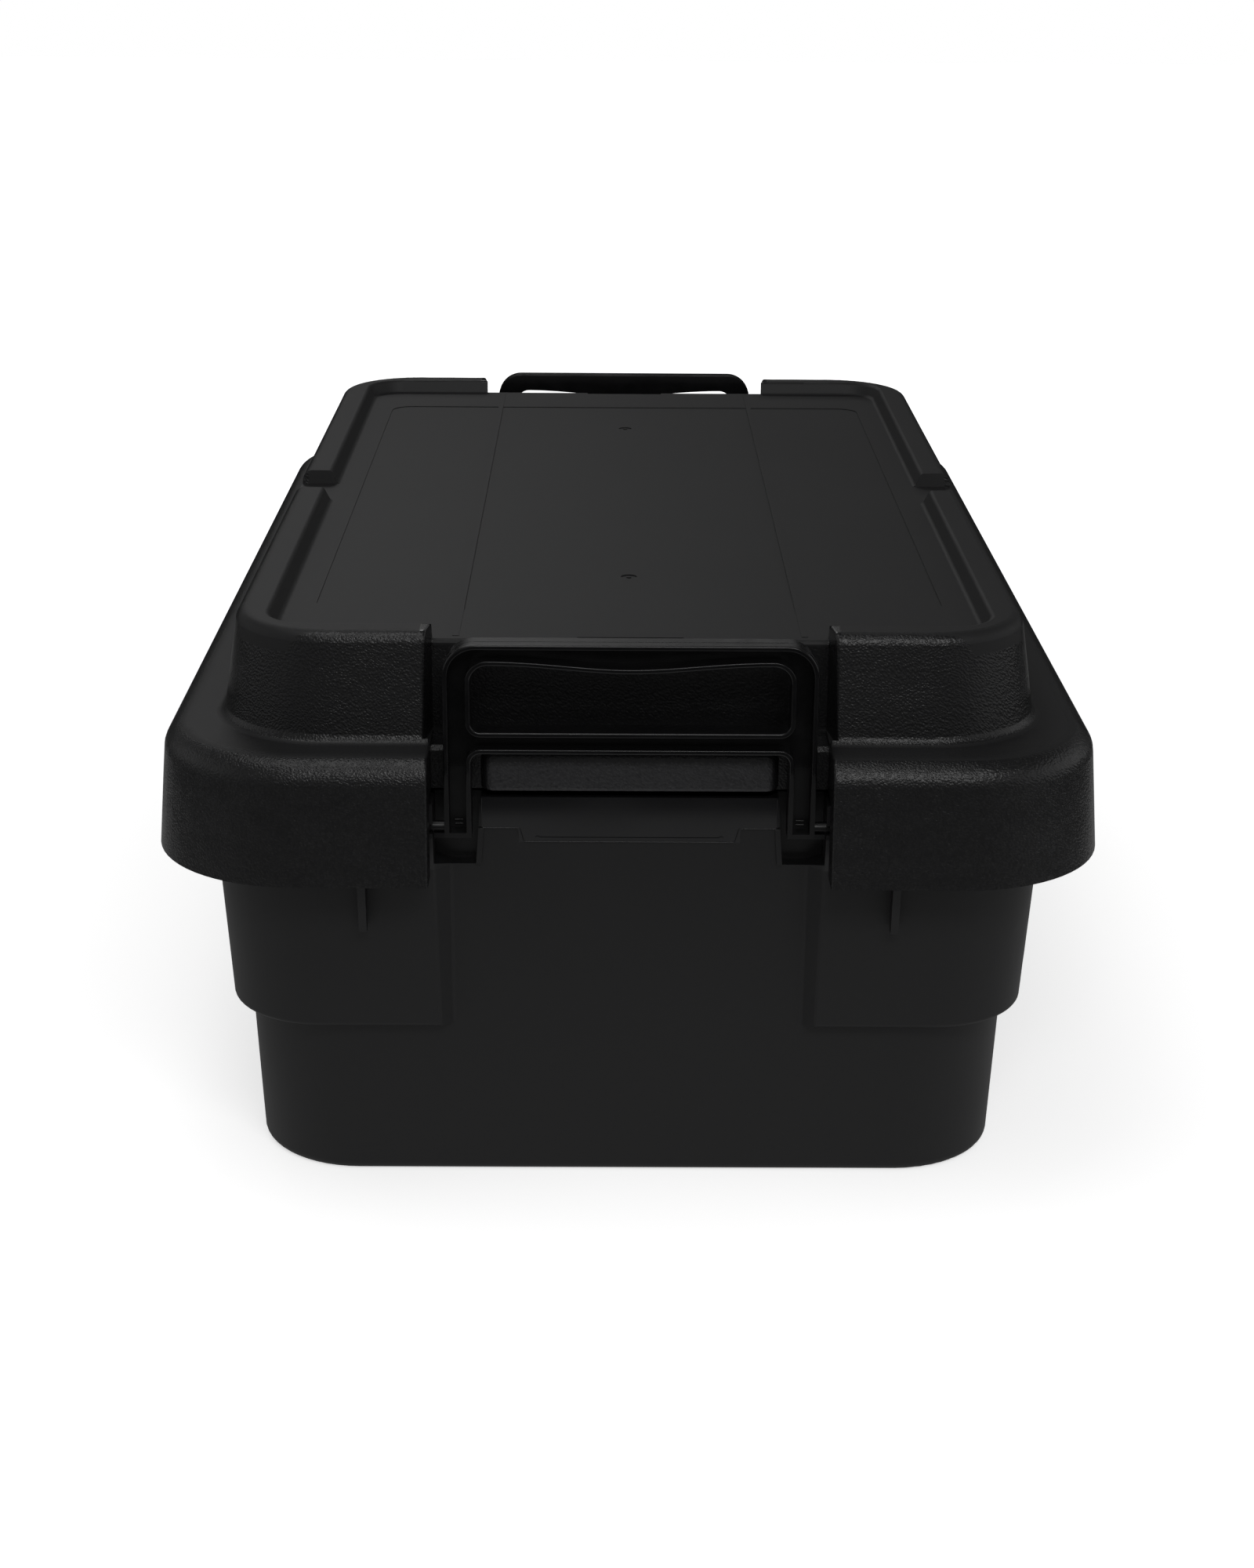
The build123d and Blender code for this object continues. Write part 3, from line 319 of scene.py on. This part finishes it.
specks = add(tree, "ShaderNodeTexNoise", {}, {
    "Vector": place, "Scale": 1 / FINE_TEXTURE, "Detail": 2.0, "Roughness": 0.7,
})["Fac"]
texture = add(tree, "ShaderNodeBump", {}, {
    "Strength": 1.0, "Distance": FINE_TEXTURE_DEPTH, "Height": specks,
})[0]
grained = add(tree, "ShaderNodeMath", {"operation": "SUBTRACT"}, {0: 1.0, 1: fine})[0]
grain = add(tree, "ShaderNodeBump", {}, {
    "Strength": grained, "Distance": GRAIN_DEPTH, "Height": hide, "Normal": texture,
})[0]
tree.links.new(black_with_painted_sheen, shader["Base Color"])
tree.links.new(roughness, shader["Roughness"])
tree.links.new(grain, shader["Normal"])
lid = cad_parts["lid"]
lid.data.materials.clear()
lid.data.materials.append(leather)

# ------------------------------------------------------------------ The handles
# Each latch handle is a channel-shaped moulding with two legs, of polypropylene from a polished
# mould. Its stub pins are snapped into the container's ears, and its crossbar stands over the
# lid's nose and holds the lid down.
HANDLE_DARK = "#0b0b0c"
HANDLE_LIGHT = "#101011"
HANDLE_CLOUD = 9 * MM
GLOSS_ROUGHNESS = (0.20, 0.26)
LOWER_LEG_TOP = 189 * MM
LOWER_LEG_START = 184 * MM
LOWER_LEG_CHANGE = 0.14

# Polished polypropylene: the glossiest black of the box, with bright lines along every rounding.
# Its lower legs are a little duller.
gloss, tree, shader, place, (_, _, height) = moulded_polypropylene("handle_polished_polypropylene")
cloud = add(tree, "ShaderNodeTexNoise", {}, {
    "Vector": place, "Scale": 1 / HANDLE_CLOUD, "Detail": 1.0,
})["Fac"]
black = add(tree, "ShaderNodeMix", {"data_type": "RGBA"}, {
    "Factor": cloud, "A": linear(HANDLE_DARK), "B": linear(HANDLE_LIGHT),
})[2]
polish = add(tree, "ShaderNodeMapRange", SMOOTH, {
    "Value": cloud, "From Min": CLOUD_RANGE[0], "From Max": CLOUD_RANGE[1],
    "To Min": GLOSS_ROUGHNESS[0], "To Max": GLOSS_ROUGHNESS[1],
})[0]
duller = add(tree, "ShaderNodeMapRange", SMOOTH, {
    "Value": height, "From Min": LOWER_LEG_TOP, "From Max": LOWER_LEG_START, "To Max": LOWER_LEG_CHANGE,
})[0]
roughness = add(tree, "ShaderNodeMath", {"operation": "ADD"}, {0: polish, 1: duller})[0]
tree.links.new(black, shader["Base Color"])
tree.links.new(roughness, shader["Roughness"])
for end, _ in ENDS:
    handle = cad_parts[end + "_handle"]
    handle.data.materials.clear()
    handle.data.materials.append(gloss)

# ------------------------------------------------ The handles' lines and foot ribs
# The two halves of the handle's mould meet half way through its depth, where the moulding keeps a
# fine parting line round its outer edge. At the foot of each leg two short ribs back the channel.
PARTING_Y = 276.6 * MM
PARTING_HALF_WIDTH = 74.3 * MM
PARTING_FOOT = 178.0 * MM
PARTING_TOP = 239.6 * MM
PARTING_CORNER = 13.0 * MM
PARTING_RADIUS = 0.16 * MM
RIB_LENGTH = 3.2 * MM
RIB_RADIUS = 0.42 * MM
RIB_SIDES = 12
RIB_X = 68.8 * MM
RIB_Y = 273.5 * MM
RIB_HEIGHTS = (162.1 * MM, 163.8 * MM)

foot_ribs, given = new_shape_tree(
    "foot_ribs", ("Places", "Geometry"), ("Length", "Float"), ("Radius", "Float"))
half_length = add(foot_ribs, "ShaderNodeMath", {"operation": "MULTIPLY"}, {0: given["Length"], 1: 0.5})[0]
other_half = add(foot_ribs, "ShaderNodeMath", {"operation": "MULTIPLY"}, {0: half_length, 1: -1.0})[0]
run = add(foot_ribs, "GeometryNodeCurvePrimitiveLine", {}, {
    "Start": add(foot_ribs, "ShaderNodeCombineXYZ", {}, {"X": other_half})[0],
    "End": add(foot_ribs, "ShaderNodeCombineXYZ", {}, {"X": half_length})[0],
})[0]
ring = add(foot_ribs, "GeometryNodeCurvePrimitiveCircle", {"mode": "RADIUS"}, {
    "Resolution": RIB_SIDES, "Radius": given["Radius"],
})[0]
rod = add(foot_ribs, "GeometryNodeCurveToMesh", {}, {
    "Curve": run, "Profile Curve": ring, "Fill Caps": True,
})[0]
ribs = add(foot_ribs, "GeometryNodeInstanceOnPoints", {}, {"Points": given["Places"], "Instance": rod})[0]
finish_shape_tree(foot_ribs, ribs, gloss)

parting_line = bead_tree("parting_line", gloss)
for end, side in ENDS:
    outline = [(x, side * PARTING_Y, z) for x, z in (
        (-PARTING_HALF_WIDTH, PARTING_FOOT), (-PARTING_HALF_WIDTH, PARTING_TOP),
        (PARTING_HALF_WIDTH, PARTING_TOP), (PARTING_HALF_WIDTH, PARTING_FOOT))]
    grow(end + "_handle_parting_line", polyline(outline), parting_line,
         {"Radius": PARTING_RADIUS, "Corner": PARTING_CORNER}, end + "_handle")
    places = bpy.data.meshes.new("rib_places")
    places.from_pydata([(x, side * RIB_Y, z) for x in (-RIB_X, RIB_X) for z in RIB_HEIGHTS], [], [])
    grow(end + "_handle_foot_ribs", bpy.data.objects.new("rib_places", places), foot_ribs,
         {"Length": RIB_LENGTH, "Radius": RIB_RADIUS}, end + "_handle")

# ------------------------------------------------------------- Studio and floor
# The box stands on a white table that runs on as a white background. For the camera the table glows
# less near the box. This is a painted shade round the box's foot, which adds to the box's own soft shadow
# there.
TABLE_REACH = 6.0
TABLE_WHITE = "#f4f4f4"
TABLE_ROUGHNESS = 0.8
TABLE_SPECULAR = 0.1
WHITENING_START = 0.3
WHITENING_END = 1.2
GLOW_IN_PAINTED_SHADE = 0.60
GLOW_FAR = 0.88
AMBIENT = 0.31


def square(name, corner, side, rise):
    """A flat four-cornered stage object, which isn't part of the box, and its shader's inputs."""
    mesh = bpy.data.meshes.new(name)
    mesh.from_pydata([corner, corner + side, corner + side + rise, corner + rise], [], [(0, 1, 2, 3)])
    sheet = bpy.data.objects.new(name, mesh)
    bpy.context.scene.collection.objects.link(sheet)
    paint = bpy.data.materials.new(name + "_paint")
    paint.use_nodes = True
    mesh.materials.append(paint)
    return sheet, paint.node_tree, paint.node_tree.nodes["Principled BSDF"].inputs


def seen_rays(tree):
    """1 for rays that come from the camera, off gloss or through glass, and 0 for light on the object."""
    rays = add(tree, "ShaderNodeLightPath", {}, {})
    seen = add(tree, "ShaderNodeMath", {"operation": "MAXIMUM"}, {
        0: rays["Is Camera Ray"], 1: rays["Is Glossy Ray"],
    })[0]
    return add(tree, "ShaderNodeMath", {"operation": "MAXIMUM"}, {0: seen, 1: rays["Is Transmission Ray"]})[0]


table, tree, shader = square("table", Vector((-TABLE_REACH, -TABLE_REACH, 0)),
                             Vector((2 * TABLE_REACH, 0, 0)), Vector((0, 2 * TABLE_REACH, 0)))
shader["Base Color"].default_value = linear(TABLE_WHITE)
shader["Roughness"].default_value = TABLE_ROUGHNESS
shader["Specular IOR Level"].default_value = TABLE_SPECULAR
shader["Emission Color"].default_value = (1, 1, 1, 1)
place = add(tree, "ShaderNodeTexCoord", {}, {})["Object"]
from_middle = add(tree, "ShaderNodeVectorMath", {"operation": "LENGTH"}, {0: place})["Value"]
# Painted shade: the table's glow is lower within about 0.3 to 1.2 m of the middle, where the box stands.
glow_with_painted_shade = add(tree, "ShaderNodeMapRange", SMOOTH, {
    "Value": from_middle, "From Min": WHITENING_START, "From Max": WHITENING_END,
    "To Min": GLOW_IN_PAINTED_SHADE, "To Max": GLOW_FAR,
})[0]
seen_glow_with_painted_shade = add(tree, "ShaderNodeMath", {"operation": "MULTIPLY"}, {0: seen_rays(tree), 1: glow_with_painted_shade})[0]
tree.links.new(seen_glow_with_painted_shade, shader["Emission Strength"])

world = bpy.data.worlds.new("studio")
bpy.context.scene.world = world
world.use_nodes = True
tree = world.node_tree
background = tree.nodes["Background"].inputs
background["Color"].default_value = (1, 1, 1, 1)
strength = add(tree, "ShaderNodeMapRange", SMOOTH, {"Value": seen_rays(tree), "To Min": AMBIENT})[0]
tree.links.new(strength, background["Strength"])

# Grey and black cards close the studio round the box, over it and on the table round it. Only the
# plastic mirrors them, which keeps its blacks deep. Neither the camera nor the lamps meet them.
CARDS = {
    "card_behind_low": ((-3.0, 2.2, 0.0), (6.0, 0, 0), (0, 0, 0.85), "#101010"),
    "card_behind_middle": ((-3.0, 2.2, 0.85), (6.0, 0, 0), (0, 0, 0.2), "#a0a0a0"),
    "card_behind_left": ((-3.0, 2.2, 1.05), (2.9, 0, 0), (0, 0, 1.35), "#707070"),
    "card_behind_right": ((-0.1, 2.2, 1.05), (3.1, 0, 0), (0, 0, 1.35), "#686868"),
    "card_before": ((-3.0, -2.6, 0.0), (6.0, 0, 0), (0, 0, 2.4), "#707070"),
    "card_left": ((-3.0, -2.6, 0.0), (0, 4.8, 0), (0, 0, 2.4), "#a4a4a4"),
    "card_right": ((3.0, -2.6, 0.0), (0, 4.8, 0), (0, 0, 2.4), "#c0c0c0"),
    "card_above": ((-3.0, -2.6, 2.4), (6.0, 0, 0), (0, 4.8, 0), "#404040"),
    "card_round_box": ((-0.56, -0.616, 0.001), (1.12, 0, 0), (0, 1.246, 0), "#989898"),
    "card_on_table": ((-3.0, -2.6, 0.0005), (6.0, 0, 0), (0, 4.8, 0), "#202020"),
}
for name, (corner, side, rise, grey) in CARDS.items():
    card, tree, shader = square(name, Vector(corner), Vector(side), Vector(rise))
    shader["Base Color"].default_value = (0, 0, 0, 1)
    shader["Specular IOR Level"].default_value = 0.0
    shader["Emission Color"].default_value = linear(grey)
    shader["Emission Strength"].default_value = 1.0
    card.visible_camera = False
    card.visible_diffuse = False
    card.visible_shadow = False
    card.visible_transmission = False

# One soft box hangs over the front end, one stands above the camera, and a dim one stands behind
# and draws light lines on the roundings. Each has its place, the point it faces, its size and watts.
LAMPS = {
    "soft_box_above": ((-0.3, -0.3, 1.50), (0.0, 0.0, 0.2), (0.8, 0.7), 3.2),
    "soft_box_before": ((0.3, -1.5, 1.35), (0.0, -0.2, 0.15), (1.0, 0.4), 7.0),
    "soft_box_behind": ((-0.45, 1.5, 1.35), (0.0, -0.2, 0.2), (0.9, 0.5), 2.2),
}
for name, (position, target, (width, depth), power) in LAMPS.items():
    lamp = bpy.data.lights.new(name, "AREA")
    lamp.shape = "RECTANGLE"
    lamp.size, lamp.size_y = width, depth
    lamp.energy = power
    holder = bpy.data.objects.new(name, lamp)
    holder.location = position
    holder.rotation_euler = (Vector(target) - Vector(position)).to_track_quat("-Z", "Y").to_euler()
    bpy.context.scene.collection.objects.link(holder)

# The camera stands 0.95 m in front of the box, a little left of its middle, and looks down on it
# by 20 degrees. Its place, its lens and its slight tilt were fitted to the photographed outlines.
CAMERA_PLACE = Vector((-9.32, -1248.04, 530.86)) * MM
FOCAL_PIXELS = 3289.36
IMAGE_WIDTH = 1600
SENSOR_WIDTH = 36.0
NEAREST_SEEN = 0.01
PITCH = math.radians(19.836)
YAW = math.radians(0.482)
ROLL = math.radians(0.426)
forward = Vector((math.sin(YAW) * math.cos(PITCH), math.cos(YAW) * math.cos(PITCH), -math.sin(PITCH)))
level = Vector((math.cos(YAW), -math.sin(YAW), 0))
upright = level.cross(forward)
right = math.cos(ROLL) * level + math.sin(ROLL) * upright
up = math.cos(ROLL) * upright - math.sin(ROLL) * level
camera_data = bpy.data.cameras.new("camera")
camera_data.sensor_fit = "HORIZONTAL"
camera_data.sensor_width = SENSOR_WIDTH
camera_data.lens = FOCAL_PIXELS / IMAGE_WIDTH * SENSOR_WIDTH
camera_data.clip_start = NEAREST_SEEN
camera = bpy.data.objects.new("camera", camera_data)
camera.matrix_world = Matrix.Translation(CAMERA_PLACE) @ Matrix((right, up, -forward)).transposed().to_4x4()
bpy.context.scene.collection.objects.link(camera)
bpy.context.scene.camera = camera
bpy.context.scene.view_settings.view_transform = "Standard"
